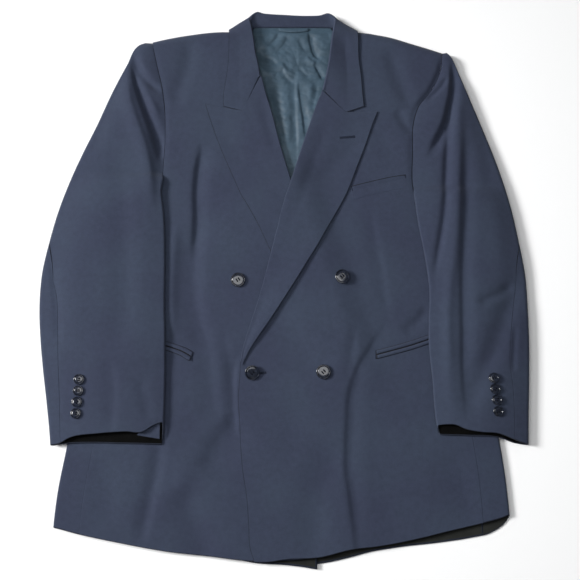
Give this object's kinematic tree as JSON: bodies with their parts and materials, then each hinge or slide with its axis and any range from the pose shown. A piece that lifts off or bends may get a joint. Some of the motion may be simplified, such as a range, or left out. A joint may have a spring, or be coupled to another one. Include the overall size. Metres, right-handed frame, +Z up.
{
  "type": "double breasted blazer",
  "caption": "Buttoned double breasted blazer laid flat on its back, with wide peak lapels, a chest welt, jetted hip pockets and sleeves beside the body.",
  "frame": {"origin": "middle of the overall box in plan, on the surface that the blazer lies on", "axes": "+X toward the wearer's left, +Y from hem to collar, +Z up out of the surface, through back and then front"},
  "size_m": [0.7028, 0.8182, 0.0266],
  "materials": {
    "wool": "fine twill wool, soft sheen",
    "satin": "satin lining",
    "horn": "polished dark buttons"
  },
  "bodies": {
    "root": {"back_left": "wool", "back_right": "wool", "chest_welt": "wool", "collar": "wool", "front_left": "wool", "front_right": "wool", "hip_jet_lower_left": "wool", "hip_jet_lower_right": "wool", "hip_jet_upper_left": "wool", "hip_jet_upper_right": "wool", "lapel_left": "wool", "lapel_right": "wool", "side_left": "wool", "side_right": "wool", "topsleeve_left": "wool", "topsleeve_right": "wool", "undersleeve_left": "wool", "undersleeve_right": "wool", "lining_back": "satin", "hanger_loop": "satin", "button_1": "horn", "button_2": "horn", "button_3": "horn", "button_4": "horn", "cuff_button_left_1": "horn", "cuff_button_left_2": "horn", "cuff_button_left_3": "horn", "cuff_button_left_4": "horn", "cuff_button_right_1": "horn", "cuff_button_right_2": "horn", "cuff_button_right_3": "horn", "cuff_button_right_4": "horn"}
  },
  "joints": []
}
